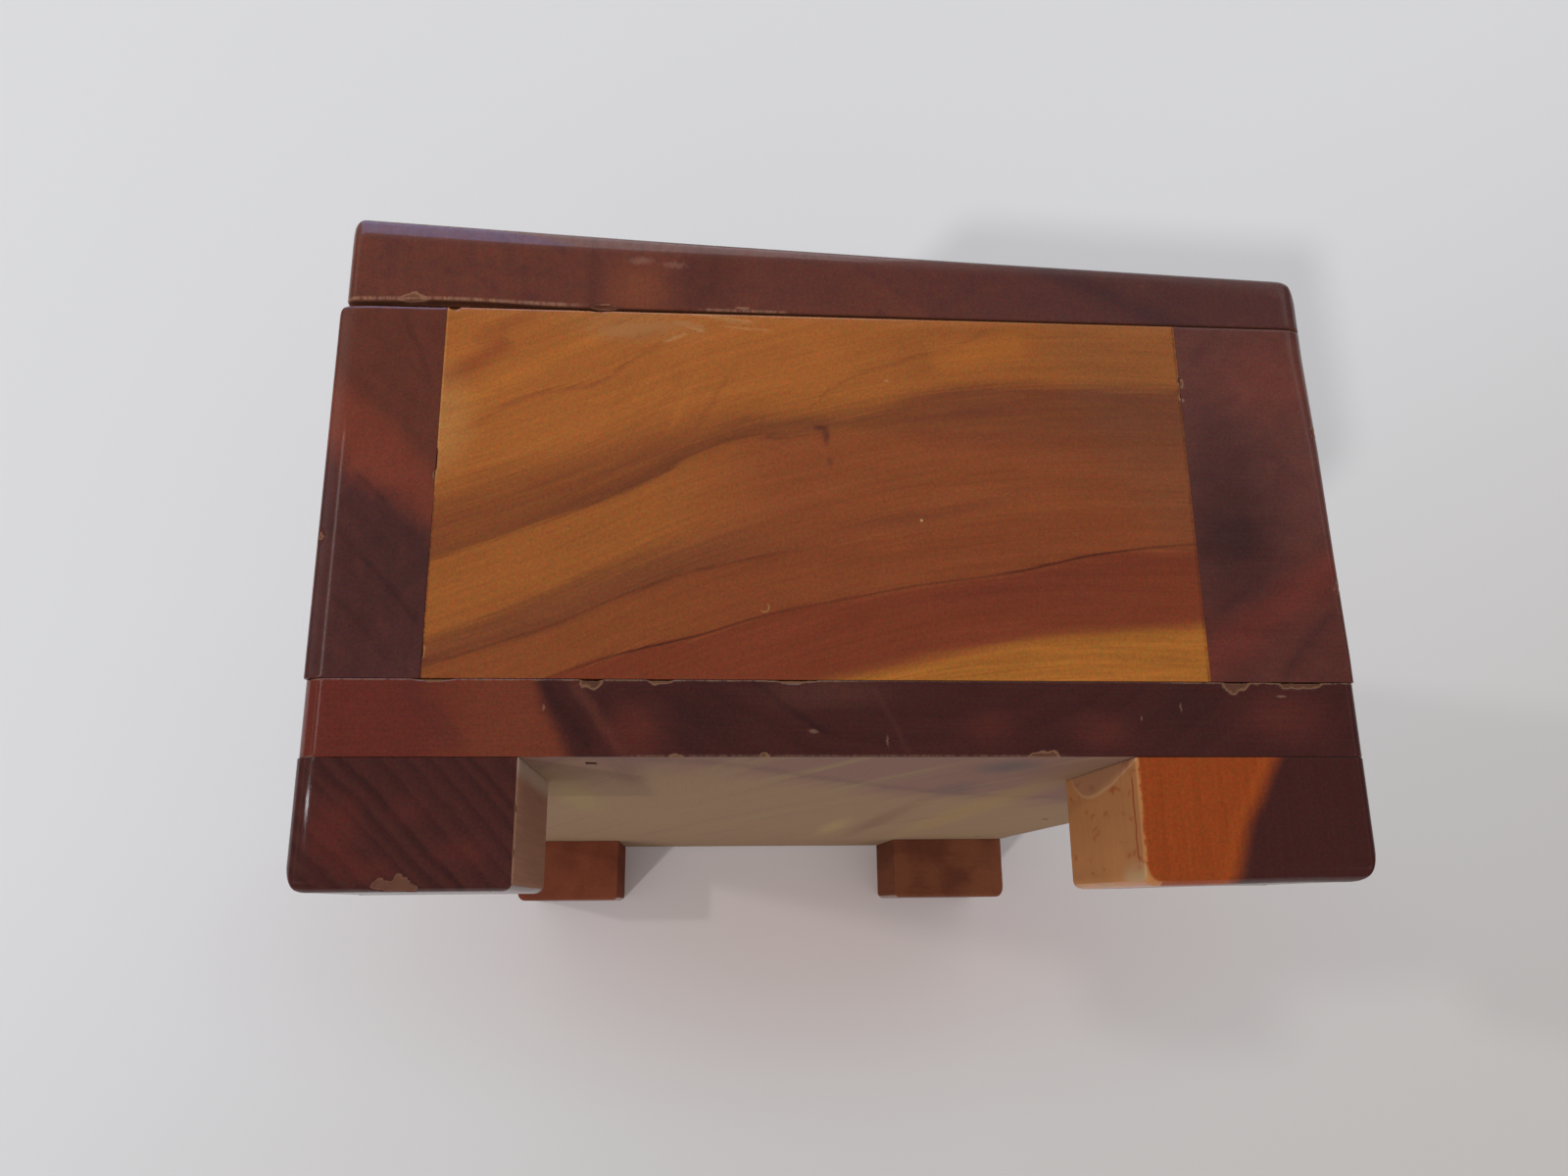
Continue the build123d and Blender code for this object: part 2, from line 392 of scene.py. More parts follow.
def varnished(colour, relief, pale, raw=0.0, raw_colour=None, floor=0.75):
    """Ends a wood material: its colour, its relief in mm, the pale wood of its chips, whose floors are the
    share given less pale than their rims, and an uneven glossy coat that is missing where it is chipped or
    raw. A fine grit of many hues lies over all of it, drawn out along the boards."""
    place = relief.node("TexCoord", (), (), "Object")
    drawn_out = relief.node("Mapping", (), {"Vector": place, "Scale": (0.06, 1.0, 1.0)})
    grit = relief.node("TexNoise", (), {
        "Vector": drawn_out,
        "Scale": 4200.0,
        "Detail": 2.0,
        "Roughness": 0.6,
    }, 1)
    grit = relief.node("VectorMath", {"operation": "MULTIPLY_ADD"}, {
        0: grit,
        1: (0.9, 0.9, 0.9),
        2: (0.55, 0.55, 0.55),
    })
    colour = relief.node("VectorMath", {"operation": "MULTIPLY"}, {0: colour, 1: grit})
    thin = relief.node("TexNoise", (), {"Vector": drawn_out, "Scale": 1300.0, "Detail": 3.0})
    depth = relief.node("Attribute", {"attribute_name": "chip"}, (), "Fac")
    chip = rise(depth, 0.02, 0.08)
    if raw_colour is not None:
        colour = blend(raw, colour, raw_colour)
    bare = chip.math("MAXIMUM", raw)
    flaked = blend(rise(depth, 0.07, 0.16) * floor, pale, colour)
    relief.node("OutputMaterial", (), {"Surface": relief.node("BsdfPrincipled", (), {
        "Base Color": blend(chip, colour, flaked),
        "Normal": relief.node("Bump", (), {"Strength": 1.0, "Distance": 0.001, "Height": relief}),
        "Roughness": 0.4 + bare * 0.4,
        "Specular IOR Level": 0.03,
        "Coat Weight": (1 - bare) * (0.6 - rise(thin, 0.42, 0.62) * 0.1),
        "Coat Roughness": 0.08,
    })})


# The lid's two faces lean towards each other: their heights in mm at the front and at the back.
lid_bottom, lid_top = (53.0, 52.75), (62.1, 58.25)
lid_low, lid_high = seen("lid_board")
lid_half = 4.0
leaf_room = np.array([0.15, 0.15, 0])


def lid_faces(points):
    """The heights of the lid's lower and upper faces at each point. The upper face is planed a little
    hollow, and the lower one is worn away by 0.3 mm near the front of the near end."""
    x, y, z = points.T
    share = (y - lid_low[1]) / (lid_high[1] - lid_low[1])
    bottom, top = [height[0] + share * (height[1] - height[0]) for height in (lid_bottom, lid_top)]
    worn = between(y, 1, 9) * (1 - between(y, 12, 20)) * (1 - between(x, 1, 5))
    return bottom + worn * 0.3, top - share * (1 - share) * 0.6


def level_lid(points):
    """Where the lid's points would lie if its two faces were level, lid_half below and above zero, and its
    near end were not worn away by up to half a millimetre towards the top."""
    bottom, top = lid_faces(points)
    off = points[:, 2] - (top + bottom) / 2
    level = np.sign(off) * (abs(off) - (top - bottom) / 2 + lid_half)
    wear = 0.055 - 0.02 * between(points[:, 1], 10, 50) - 0.015 * between(points[:, 1], 50, 80)
    sag = wear * np.clip(3 - lid_half + level, 0, None) ** 2 * (1 - between(points[:, 0], 5, 15))
    return np.column_stack([points[:, 0] - sag, points[:, 1], level])


def place_lid(points):
    """Brings points of a level lid to the sloping one."""
    bottom, top = lid_faces(points)
    share = (points[:, 2] + lid_half) / (2 * lid_half)
    return np.column_stack([points[:, :2], bottom + share * (top - bottom)])


def lid_upright(x, y, z):
    """The lid's upright edges are rounder at the back."""
    return 1.1 + 1.2 * between(y, 40, 60)


def lid_rim(x, y, z, across):
    """The lid's upper edges are sanded round, its lower edges barely."""
    end = 0.8 + 0.25 * between(y, 8, 35)
    side = 1.4 + 0.9 * between(y, 30, 60)
    return np.where(z > 0, end * across + side * (1 - across), 0.25)


def hinge_seats(part, top):
    """The seats of both hinges' leaves in a board, whose floor is the top or the bottom of the leaf."""
    leaves = [seen(f"{side}_hinge_{part}") for side in ("left", "right")]
    open_room = leaf_room + (0, 5, 0)
    return [(low - leaf_room, high + open_room, (high if top else low)[2]) for low, high in leaves]


x, y, z = material("lid_wood")
sway, fibre = along_grain(x, y, z, 1.0)
stripes = rings(y + z * 0.1 + sway * 0.7, 1.3, 3.0)
fine = noise(x, y, z, (30, 0.45, 5), 3.0, 4.0)
colour = blend(rise(y, 48, 80), paint(102, 56, 44), paint(84, 52, 47))
mottle = noise(x, y, z, (4, 2.6, 1.8), 4.0, 2.0, 0.6)
colour = painted(colour, rise(mottle, -0.2, 1.0) * 0.6, 80, 46, 46)
colour = painted(colour, rise(-1 * mottle, 0.1, 1.2) * 0.5, 118, 62, 48)
colour = painted(colour, stripes * (0.1 + rise(x, 1, 8) * 0.3), 76, 42, 38)
colour = painted(colour, ridge(y + sway * 0.5 - 23.0, 0.5, 1.8) * 0.4, 68, 40, 38)
colour = painted(colour, spot(y + sway * 0.8, z, (27.3, 55.0), (2.1, 2.6), 1.0) * 0.65, 128, 70, 46)
colour = painted(colour, spot(y + sway * 0.5, z, (33.7, 56.0), (2.8, 3.6), 0.8) * 0.45, 72, 40, 38)
colour = painted(colour, spot(y + sway * 0.5, z, (43.0, 56.5), (5.0, 3.4), 0.8) * 0.6, 92, 52, 46)
# Beyond a slanting line towards the back, the lid's end is darkened with a painted shadow.
painted_shadow = rise(from_line(y + sway * 0.5, z, (47.0, 58.0), (55.0, 53.0)), -0.6, 0.8)
colour = painted(colour, painted_shadow * 0.45, 82, 47, 46)
streak = from_line(y + sway, z, (67, 57.5), (77, 53)) - 0.6
colour = painted(colour, ridge(streak, 0.8, 2.4) * 0.5, 60, 42, 45)
colour = shade(colour, 1 + fibre * 0.05 + fine * 0.03 + sway * 0.05)
near = 1 - rise(x, 0.4, 0.9)
for centre, reach, share in (((27.3, 58.0), (0.9, 0.35), 0.45), ((30.4, 57.6), (0.9, 0.3), 0.4)):
    scuff = spot(y + fibre * 0.6, z + fine * 0.2, centre, reach, 0.9) * near
    colour = painted(colour, scuff * share, 150, 106, 90)
foot_line = height_at(y, [(0, 53.2), (5, 53.35), (10, 53.46), (15, 53.3), (20, 53.15), (80, 53.0)])
worn = ragged_edge(x, y, z - foot_line, 0, 0.3, 34.0)
worn = worn * (1 - rise(y, 20, 23)).math("MAXIMUM", ridge(y - 37, 4, 1))
colour = painted(colour, worn * 0.8, 152, 112, 90)
lift = rise(y, 1, 9) * (1 - rise(y, 12, 20)) * (1 - rise(x, 2, 8)) * 0.3
raw = (1 - rise(z + y * 0.0027 - lift, 53.04, 53.08)) * inside(x)
# The lid's raw underside is darker near the near end: painted shade in the gap under the lid.
under = shade(paint(164, 104, 78), (0.3 + rise(x, 0.5, 1.6) * 0.7) * (1 + fibre * 0.1 + sway * 0.06))
varnished(colour, fibre * 0.004 - stripes * 0.003, paint(138, 98, 76), raw, under)
lid_chips = [
    (6.2, 53.3, 1.3, 0.75, 0, 0.16),
    (24.0, 52.95, 1.4, 0.35, 0, 0.3),
    (36.9, 53.3, 0.7, 0.14, 0, 0.08),
]
wooden("lid_board", "lid_wood", "lid", (4.0, 0.28, 0.3), lid_upright, lid_rim, 11, lid_chips,
       hinge_seats("lid_leaf", True), (-lid_half, lid_half), level_lid, place_lid)

# Front wall. A full-length board of the same heartwood, 9.9 mm thick, glued between the base and the air gap
# under the lid. Its rim and its outer corners are worn round by fingers, and its inside is raw.
x, y, z = material("front_wood")
sway, fibre = along_grain(x, y, z, 5.0)
late = rings((y + z) * 0.7 + sway * 0.6, 2.1, 7.0)
mottle = noise(x, y, z, (4, 1.6, 2.6), 3.0, 6.0)
along = rise(x, 1, 8)
wavy = z + sway * (0.8 + rise(x, 2, 50) * 2.0) + fibre * 0.15
colour = blend(late * (0.15 + along * 0.3), paint(97, 52, 40), paint(74, 40, 34))
band = rise(wavy - height_at(y, [(0, 45.4), (3, 43.2), (9.5, 36.4)]), -2.4, 1.2)
colour = blend(band, paint(116, 57, 43), colour)
low_part = rise(wavy - height_at(y, [(0, 38.0), (3, 36.0), (9.5, 30.4)]), -2.2, 2.2)
colour = blend(low_part, blend(late * (0.15 + along * 0.3), paint(78, 45, 42), paint(58, 34, 34)), colour)
colour = painted(colour, spot(y + sway, z, (7, 28), (3.5, 5), 0.9) * 0.3, 58, 38, 36)
colour = painted(colour, rise(mottle, 0.1, 1.3) * 0.35, 98, 44, 38)
for start, end, share in (((2.6, 36.4), (5.4, 33.2), 0.4), ((4.0, 28.2), (9.0, 22.2), 0.45),
                          ((1.6, 25.0), (6.4, 19.4), 0.3), ((1.2, 31.0), (4.4, 27.6), 0.25),
                          ((5.6, 51.8), (8.6, 45.0), 0.3)):
    colour = painted(colour, stroke(y, z + sway * 0.4, start, end, 0.15, 0.8) * share, 48, 29, 30)
colour = shade(colour, 1 + fibre * 0.07 + sway * 0.06 + mottle * 0.1)
varnished(colour, fibre * 0.004 - late * 0.002, paint(134, 94, 74), past(y, front_inner) * inside(x),
          shade(paint(160, 104, 80), 1 + fibre * 0.1))
wall_middle = seen("front_wall")[1][1] / 2


def worn_corner(points):
    """Where points would lie if the box's near front corner were not worn: it sinks over the last 3 mm."""
    x, y, z = points.T
    return np.column_stack([x - 0.045 * np.clip(2.8 - y, 0, None) ** 2 * (1 - between(x, 5, 15)), y, z])


def front_rim(x, y, z, across):
    """Round along the rim's outer edge, nearly sharp inside and at the glued foot of the board."""
    outer = np.where(y < wall_middle, 1.15, 0.25)
    return np.where(z > 30, 0.4 * across + outer * (1 - across), 0.1)


wooden("front_wall", "front_wood", "case", (4.0, 0.4, 0.4),
       lambda x, y, z: np.where(y < wall_middle, np.where(x < 50, 0.4, 1.4), 0.05), front_rim, 21,
       [(-0.1, 30.0, 0.3, 0.5, 0, 0.15), (9.4, 36.0, 0.2, 0.4, 0, 0.12)], level=worn_corner)

# Back wall. A thicker full-length board, 13.5 mm, glued to the base and to the end panels. Its rim carries
# the hinges in shallow seats, its outer corners are sanded round, and its inside is raw.
x, y, z = material("back_wood")
sway, fibre = along_grain(x, y, z, 8.0)
late = rings((z - y) * 0.7 + sway * 0.8, 2.6, 9.0)
mottle = noise(x, y, z, (4, 3.2, 1.8), 3.0, 6.0)
sawn = noise(x, y, z, (7, 9, 0.22), 2.0, 10.0) * (1 - rise(z, 38, 44) * 0.6)
colour = blend(rise(z, 24, 36), paint(88, 48, 42), paint(96, 57, 51))
colour = painted(colour, late * (0.12 + rise(x, 1, 8) * 0.3), 70, 40, 38)
colour = painted(colour, spot(y + sway, z + sway, (88, 47.0), (4.5, 3.6), 0.8) * 0.45, 114, 58, 47)
colour = painted(colour, spot(y + sway, z, (82.5, 33), (4.2, 9.0), 0.8) * 0.65, 58, 37, 37)
colour = painted(colour, spot(y, z + sway * 0.6, (82.0, 31), (3.2, 2.2), 0.8) * 0.4, 48, 32, 33)
colour = painted(colour, ridge(from_line(y, z + sway, (80, 20), (90, 27)), 1.6, 3.0) * 0.5, 112, 51, 41)
for start, end, share in (((80.0, 23.4), (86.0, 28.4), 0.3), ((85.5, 18.0), (91.0, 24.0), 0.45),
                          ((86.0, 40.0), (90.6, 36.0), 0.2), ((79.6, 43.4), (84.6, 45.6), 0.2)):
    colour = painted(colour, stroke(y, z + sway * 0.5, start, end, 0.3, 1.4) * share, 58, 35, 35)
colour = shade(colour, 1 + fibre * 0.06 + sway * 0.06 + sawn * 0.06 + mottle * 0.09)
varnished(colour, fibre * 0.004 + sawn * 0.004, paint(134, 98, 80), (1 - past(y, back_inner)) * inside(x),
          shade(paint(158, 104, 82), 1 + fibre * 0.1))
back_chips = [
    (79.1, 46.5, 0.2, 0.6, 0, 0.15),
    (79.05, 44.8, 0.18, 0.35, 0, 0.12),
    (91.9, 42.0, 0.45, 0.35, 0, 0.3),
    (92.1, 26.3, 0.45, 0.6, 0, 0.25),
]


def back_upright(x, y, z):
    """The outer corners are sanded round, the near one more towards the lid. The inner corners are sharp."""
    near_corner = np.interp(z, (20, 30, 40, 50), (0.65, 1.15, 1.5, 2.3))
    return np.where(y > 85, np.where(x < 50, near_corner, 1.6), 0.05)


def back_rim(x, y, z, across):
    """The rim's edges are barely broken, so that the hinge seats stay crisp."""
    return np.where(z > 30, 0.3 * across + 0.12 * (1 - across), 0.1)


wooden("back_wall", "back_wood", "case", (4.0, 0.4, 0.4), back_upright, back_rim, 31, back_chips,
       hinge_seats("case_leaf", False))

# End panels. Two 9.5 mm boards of orange sapwood and light heartwood, glued between the long walls with their
# grain across the box. They are varnished outside and raw inside, and the near one is splintered at its top.


def panel_wood(name, flipped):
    """Orange sapwood that turns to brown heartwood in streaks. Each streak follows a line of its own across
    the panel, and its fibres run along the line that passes through the knots."""
    x, y, z = material(name)
    if flipped:
        y = 88.4 - y
    up = z - height_at(y, [(9.8, 28.3), (20.6, 32.4), (31.2, 37.4), (42.2, 41.1), (57, 44.5), (78.8, 45.5)])
    fibre = noise(x, y, up, (1.5, 9, 0.22), 3.0, 13.0, 0.65)
    figure = noise(x, y, up, (40, 14, 1.5), 3.0, 14.0)
    streaky = noise(x, y, up, (30, 16, 0.7), 3.0, 17.0)
    cloud = noise(x, y, z, (6, 7, 3.5), 3.0, 15.0)
    wavy = z + fibre * 0.25 + streaky * 0.35 + figure * 0.3

    def over(places):
        """How far above a line a point is, in mm."""
        return wavy - height_at(y, places)

    vein = over([(9.8, 28.3), (20.6, 32.4), (28.5, 35.8), (33.8, 39.0), (36.7, 40.1), (42.2, 40.4),
                 (50, 41.0), (78.8, 40.8)])
    crest = over([(9.8, 34.4), (18.5, 37.2), (26.4, 40.3), (34, 42.2), (43.6, 42.9), (50, 43.8), (55, 45.2),
                  (62, 45.9), (70, 46.1), (78.8, 46.2)])
    second = over([(9.8, 20.8), (17.2, 24.3), (24.3, 27.2), (29.8, 29.5), (42, 33.5), (58, 36.4),
                   (78.8, 38.5)])
    second_foot = over([(12.7, 19.5), (20.1, 22), (26.4, 24.9), (34.3, 27.7), (39.6, 28.7), (52, 31.4),
                        (78.8, 34.4)])
    crack = over([(22.7, 18.5), (26.4, 19.7), (33, 21.4), (39, 23.2), (46, 24.8), (52.5, 26.1), (62, 27.6),
                  (70.2, 29.4), (78.8, 30.4)])
    wedge = over([(40, 16.6), (48.6, 18.7), (55, 20.3), (64.4, 21.9), (71, 22.4), (78.8, 23)])
    right = rise(y, 44, 56)

    colour = blend(right, paint(160, 94, 44), paint(148, 86, 42))
    for line, low, high, here, there, first, last in (
        (vein, -0.3, 0.5, 27, 42, paint(151, 88, 42), paint(134, 72, 41)),
        (second, -1.6, 1.2, 30, 44, paint(124, 70, 41), paint(132, 71, 40)),
        (second_foot, -0.5, 0.5, 22, 40, paint(132, 72, 39), paint(128, 67, 38)),
    ):
        colour = blend(1 - rise(line, low, high), colour, blend(rise(y, here, there), first, last))
    colour = painted(colour, 1 - rise(crack, -0.5, 0.3), 119, 57, 36)
    colour = painted(colour, spot(y + figure, z + streaky * 0.5, (66, 26.2), (9, 2.2), 0.8) * 0.12,
                     94, 44, 38)
    colour = painted(colour, spot(y + figure * 2, wavy, (72, 39.0), (8, 4.0), 0.8) * 0.2, 100, 56, 40)
    band = rise(vein * (1 - right * 0.85) + right * 0.2, -0.3, 0.5)
    band = band * (1 - rise(crest * (0.3 + right * 0.6), -0.9, 0.7))
    colour = blend(band * (0.7 + right * 0.15 + streaky * 0.25), colour,
                   blend(right, paint(110, 58, 37), paint(110, 59, 40)))
    colour = painted(colour, ridge(vein - 1.6, 0.15, 0.8) * ridge(y - 24, 14, 8) * 0.4, 140, 80, 42)
    colour = painted(colour, ridge(vein - 0.5, 0.4, 2.2) * ridge(y - 27, 8, 16) * 0.55, 82, 42, 34)
    colour = painted(colour, ridge(vein, 0.1, 0.8) * ridge(y - 26, 18, 8) * 0.75, 80, 40, 32)
    colour = painted(colour, ridge(crest + 1.2, 0.4, 2.2) * spot(y, z, (43, 41.5), (7, 4), 0.6) * 0.55,
                     90, 50, 37)
    colour = painted(colour, ridge(second + 0.2, 0.1, 0.9) * ridge(y - 23, 7, 6) * 0.5, 100, 55, 37)
    colour = painted(colour, ridge(second_foot - 0.6, 0.5, 2.4) * (1 - rise(y, 30, 50)) * 0.5, 108, 57, 37)
    colour = painted(colour, ridge(second_foot, 0.08, 0.6) * (1 - rise(y, 36, 46)) * 0.75, 84, 42, 32)
    colour = painted(colour, ridge(crack + 1.4, 0.6, 2.4) * rise(y, 40, 64) * 0.3, 96, 46, 36)
    sharp = ridge(y - 30, 5, 5).math("MAXIMUM", ridge(y - 67, 6, 6))
    split = crack - wavy + z + fibre * 0.05 + figure * 0.06
    colour = painted(colour, ridge(split, 0.07, 0.34) * (0.55 + sharp * 0.45) * rise(y, 17, 25), 60, 27, 25)
    colour = blend(1 - rise(wedge, -1.3, 0.5), colour,
                   shade(paint(160, 98, 41), 1 + fibre * 0.08 + streaky * 0.08))
    gleam = over([(44.6, 31.4), (53.3, 32.7), (58.8, 34), (65, 35.6), (78.8, 38.0)])
    colour = painted(colour, ridge(gleam, 0.4, 1.8) * ridge(y - 54, 7, 10) * 0.5, 104, 54, 38)
    crease = over([(42, 41.4), (46.7, 46.1), (52, 48), (60.4, 51.4), (62.5, 52.4)])
    colour = painted(colour, ridge(crease, 0.1, 0.6) * ridge(y - 52, 9, 4) * 0.5, 116, 62, 38)
    rib = over([(12.7, 40.8), (17, 43.5), (23.8, 45.3), (26.4, 47.4), (29, 49)])
    colour = painted(colour, ridge(rib, 0.15, 0.8) * ridge(y - 21, 8, 4) * 0.55, 118, 62, 38)
    for start, end, half, share, tint in (
        ((11.2, 42.8), (24.0, 50.4), 0.7, 0.5, (176, 106, 46)),
        ((9.6, 44.8), (15.4, 49.4), 0.9, 0.6, (128, 64, 38)),
        ((12.0, 49.2), (18.0, 52.6), 0.6, 0.4, (132, 70, 40)),
        ((55.0, 48.2), (64.0, 50.2), 1.2, 0.45, (172, 102, 42)),
        ((33.2, 47.4), (30.4, 40.8), 0.3, 0.3, (176, 106, 48)),
        ((35.6, 46.4), (32.6, 40.8), 0.2, 0.25, (118, 64, 38)),
        ((31.4, 46.8), (28.6, 41.8), 0.2, 0.2, (118, 64, 38)),
        ((31.6, 51.2), (33.4, 50.7), 0.08, 0.6, (192, 148, 100)),
        ((29.6, 49.6), (31.6, 50.5), 0.08, 0.6, (192, 148, 100)),
        ((32.0, 52.5), (38.0, 51.9), 0.08, 0.5, (192, 148, 100)),
        ((35.2, 51.3), (39.4, 51.0), 0.06, 0.4, (190, 144, 96)),
    ):
        drawn = stroke(y + figure * 0.3, z + fibre * 0.1, start, end, half, 0.3 + half * 1.6)
        colour = painted(colour, drawn * share, *tint)
    # Over the right of the panel, above its middle, a greyer painted shade with a painted reflection.
    painted_shade_and_reflection = rise(y + figure - 66 + rise(51 - z, 0, 20) * -8.0, -2.2, 3.2) * rise(z, 28, 33)
    colour = painted(colour, painted_shade_and_reflection * 0.2, 98, 72, 54)
    rubbed = spot(y + figure * 0.5, z + figure, (9.6, 41.0), (2.4, 4.2), 0.8)
    colour = painted(colour, rubbed * 0.55, 182, 126, 70)
    rubbed = spot(y + fibre * 0.4, z + figure * 0.3, (26.5, 51.1), (5.2, 1.3), 0.8)
    colour = painted(colour, rubbed * 0.4, 160, 112, 70)
    colour = painted(colour, rise(z + figure * 0.3, 51.2, 52.6) * 0.2, 176, 116, 70)
    pale_rim = ragged_edge(x, y, z, 52.75, 0.12, 35.0)
    pale_rim = pale_rim + ragged_edge(x, z, y, 9.62, 0.1, 36.0) * rise(z, 33, 36)
    colour = painted(colour, pale_rim * 0.5, 186, 142, 92)
    curl = noise(x, y - z * 0.45, z, (40, 0.9, 9), 2.0, 16.0) * spot(y, z, (31, 44.5), (9, 5), 0.7)
    colour = shade(colour, 1 + fibre * 0.08 + streaky * 0.08 + figure * 0.04 + cloud * 0.05 + curl * 0.06)
    glue = ragged_edge(x, z, y, 78.72, 0.2, 41.0)
    glue = glue + ragged_edge(x, z, y, 9.58, 0.16, 42.0) * (1 - rise(z, 33, 36))
    colour = painted(colour, glue * 0.6, 84, 44, 30)
    knots = spot(y, z, (44.7, 40.4), (0.3, 0.8), 0.8) + spot(y, z, (44.1, 41.2), (0.5, 0.3), 0.8)
    knots = knots + spot(y, z, (45.0, 37.9), (0.25, 0.45), 0.9) * 0.6
    colour = painted(colour, knots * 0.6, 70, 36, 38)
    if not flipped:
        across, above = y - 38.9, z - 24.0
        ring = ridge(distance(across, above) - 0.42, 0.04, 0.16)
        ring = ring * rise(across - above, -0.3, 0.4)
        specks = spot(y, z, (53.3, 32.3), (0.14, 0.14)) + spot(y, z, (50.5, 46.1), (0.25, 0.12)) * 0.5
        colour = painted(colour, ring * 0.5 + specks * 0.7, 190, 150, 104)
    raw = 1 - past(x, far_inner) if flipped else past(x, near_inner)
    varnished(colour, fibre * 0.003 + cloud * 0.004, paint(162, 110, 68), raw,
              shade(paint(196, 142, 98), 1 + fibre * 0.1))


panel_wood("right_panel_wood", False)
panel_wood("left_panel_wood", True)
splinters = [
    (22.0, 52.9, 1.6, 0.3, 0, 0.3),
    (23.6, 52.9, 2.2, 0.35, 0, 0.3),
    (27.0, 50.9, 4.4, 0.8, 0.08, 0.05),
    (31.8, 51.4, 2.2, 0.4, -0.15, 0.07),
    (36.4, 51.8, 3.0, 0.2, -0.08, 0.06),
    (9.6, 37.4, 0.15, 1.2, 0, 0.1),
    (9.6, 19.8, 0.2, 0.6, 0, 0.1),
    (10.2, 52.6, 0.5, 0.35, 0, 0.2),
    (78.8, 46.8, 0.15, 0.4, 0, 0.12),
    (78.8, 45.2, 0.12, 0.3, 0, 0.12),
]
for node, slot, seed, chips in (("right_end_panel", "right_panel_wood", 41, splinters),
                                ("left_end_panel", "left_panel_wood", 42, ())):
    wooden(node, slot, "case", (0.6, 0.28, 0.3), lambda x, y, z: 0.05 + 0 * x,
           lambda x, y, z, across: np.where(z > 30, 0.25, 0.08), seed, chips)

# Base. One board under all four walls, glued to them and nailed with flat brads. It is varnished on its
# edges, which are chipped along the near end, and raw underneath and inside.
base_under = 10.8
brad_half, brad_sunk = np.array([0.95, 0.5]), 0.4
brad_places = [(end, back) for end in (4.75, 148.25) for back in (23.8, 76.0)]
brad_places += [(middle, back) for middle in (31.5, 76.5, 121.5) for back in (4.55, 85.65)]
x, y, z = material("base_wood")
sway, fibre = along_grain(x, y, z, 17.0)
late = rings(distance(y - 53.3, z - 40.4) + sway * 0.5, 2.4, 18.0)
scratch = noise(x, y, z, (9, 8, 0.16), 2.0, 19.0)
colour = blend(late * (0.2 + rise(x, 1, 8) * 0.3), paint(67, 35, 32), paint(44, 25, 26))
red_part = 1 - rise(from_line(y + sway * 0.6, z, (19.0, 17.5), (22.0, 11.0)), -0.8, 0.8)
colour = blend(red_part, colour, blend(rise(y + sway, 8, 16), paint(99, 44, 35), paint(110, 54, 37)))
for start, end, half, share, tint in (
    ((8.0, 17.5), (13.0, 11.5), 0.9, 0.3, (80, 42, 36)),
    ((19.6, 17.3), (24.0, 11.4), 0.5, 0.45, (48, 28, 27)),
    ((22.4, 17.2), (26.8, 11.2), 0.5, 0.5, (98, 54, 44)),
    ((24.6, 15.0), (27.0, 11.6), 0.3, 0.4, (50, 30, 28)),
    ((38.0, 17.5), (44.0, 12.8), 0.2, 0.5, (42, 26, 27)),
    ((48.5, 16.8), (51.5, 11.2), 0.2, 0.3, (88, 52, 46)),
):
    colour = painted(colour, stroke(y + sway * 0.4, z, start, end, half, half + 0.5) * share, *tint)
for centre, reach, share, tint in (
    ((27.8, 13.0), (2.4, 2.0), 0.5, (104, 48, 38)),
    ((33.5, 14.2), (3.2, 2.6), 0.35, (50, 30, 30)),
    ((44.6, 16.4), (4.4, 1.2), 0.4, (96, 58, 47)),
    ((58.5, 13.4), (2.0, 1.4), 0.35, (96, 45, 37)),
    ((68.5, 13.0), (2.6, 1.4), 0.45, (98, 46, 38)),
    ((76.5, 15.0), (2.4, 2.0), 0.3, (52, 34, 33)),
    ((85.0, 14.2), (3.6, 2.2), 0.45, (100, 48, 40)),
):
    colour = painted(colour, spot(y + sway * 0.8, z + sway * 0.3, centre, reach, 0.85) * share, *tint)
colour = shade(colour, 1 + fibre * 0.06 + sway * 0.05 + scratch * 0.08)
near = 1 - rise(x, 0.3, 0.6)
for centre, reach in (((75.9, 15.2), (0.07, 0.35)), ((72.2, 14.2), (0.07, 0.2)), ((85.2, 16.2), (0.4, 0.1)),
                      ((20.0, 15.0), (0.1, 0.25)), ((43.1, 13.0), (0.35, 0.16)), ((49.5, 12.2), (0.08, 0.4))):
    colour = painted(colour, spot(y + scratch * 0.1, z, centre, reach, 0.7) * near * 0.4, 150, 116, 98)
top_edge = ragged_edge(x, y, z, 17.38, 0.12, 37.0) * (1 - ridge(y - 61, 14, 3) * 0.8)
low_edge = ragged_edge(x, y, z, 10.92, 0.12, 38.0) * ridge(y - 46, 19, 2)
colour = painted(colour, top_edge * 0.6 + low_edge * 0.4, 138, 104, 80)
slant = y + x * 0.35
drawn = noise(x, slant, z, (60, 1.3, 20), 3.0, 21.0)
stain = noise(x, slant, z, (45, 5, 40), 2.0, 22.0)
bow = height_at(y, [(9.8, 5.0), (30, 6.0), (50, 26.0), (62, 37.0), (78, 44.0)])
raw_colour = blend(rise(x - bow + stain * 5, -8, 12), paint(134, 103, 92), paint(146, 118, 94))
raw_colour = painted(raw_colour, rise(stain + drawn * 0.4, 0.2, 1.2) * 0.5, 150, 128, 92)
raw_colour = painted(raw_colour, rise(drawn * -1 - stain * 0.5, 0.2, 1.2) * 0.4, 130, 96, 86)
raw_colour = painted(raw_colour, ridge(x - bow + 4 + drawn, 1.5, 4) * 0.3, 108, 82, 78)
